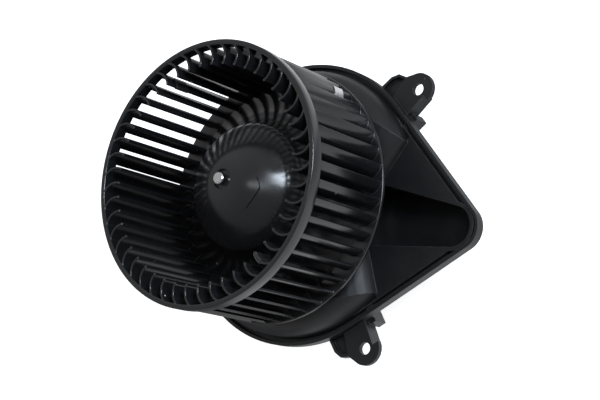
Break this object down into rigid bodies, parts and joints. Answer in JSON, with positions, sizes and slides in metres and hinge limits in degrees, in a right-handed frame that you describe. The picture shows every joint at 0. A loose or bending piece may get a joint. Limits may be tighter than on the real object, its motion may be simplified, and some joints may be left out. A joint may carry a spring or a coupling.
{
  "type": "cabin blower motor",
  "caption": "Heater blower: open-front bladed drum wheel on a small electric motor, carried by a teardrop-shaped moulded plate with a rimmed edge, corner air channel and fixing ears.",
  "frame": {"origin": "on the motor's axis, at the flat closed back of the motor cup", "axes": "+Z along the motor's axis out of the wheel's open inlet; +X from the axis towards the corner of the teardrop-shaped plate; +Y completes a right-handed frame"},
  "size_m": [0.2082, 0.1702, 0.13],
  "materials": {
    "black_plastic": "satin moulded black plastic",
    "housing_plastic": "satin moulded black plastic",
    "clip_steel": "bare spring steel",
    "shaft_steel": "ground steel",
    "lamination_steel": "stamped electrical steel",
    "copper": "enamelled copper",
    "natural_plastic": "natural nylon",
    "can_steel": "zinc-plated drawn steel",
    "ferrite": "hard ferrite",
    "bronze": "bronze and brass",
    "rubber": "black rubber",
    "card_plastic": "moulded card",
    "carbon": "carbon"
  },
  "bodies": {
    "housing": {"housing_plate": "housing_plastic", "motor_can": "can_steel", "motor_end_plate": "can_steel", "magnet_a": "ferrite", "magnet_b": "ferrite", "magnet_clips": "clip_steel", "bearing_front": "bronze", "bearing_rear": "bronze", "rubber_ring_lower": "rubber", "rubber_ring_upper": "rubber", "retainer_ring": "housing_plastic", "retainer_screws": "shaft_steel", "brush_card": "card_plastic", "brush_holders": "bronze", "brush_a": "carbon", "brush_b": "carbon", "brush_springs": "clip_steel", "chokes": "copper", "terminals": "bronze", "connector_shell": "housing_plastic", "end_plate_screws": "shaft_steel"},
    "rotor": {"fan_wheel": "black_plastic", "balance_clip_a": "clip_steel", "balance_clip_b": "clip_steel", "balance_clip_c": "clip_steel", "motor_shaft": "shaft_steel", "armature_core": "lamination_steel", "armature_winding": "copper", "commutator": "copper", "thrust_washers": "natural_plastic"}
  },
  "joints": [
    {"name": "wheel_spin", "type": "hinge", "parent": "housing", "child": "rotor", "pos_m": [0, 0, 0.1], "axis": [0, 0, 1], "continuous": true}
  ]
}
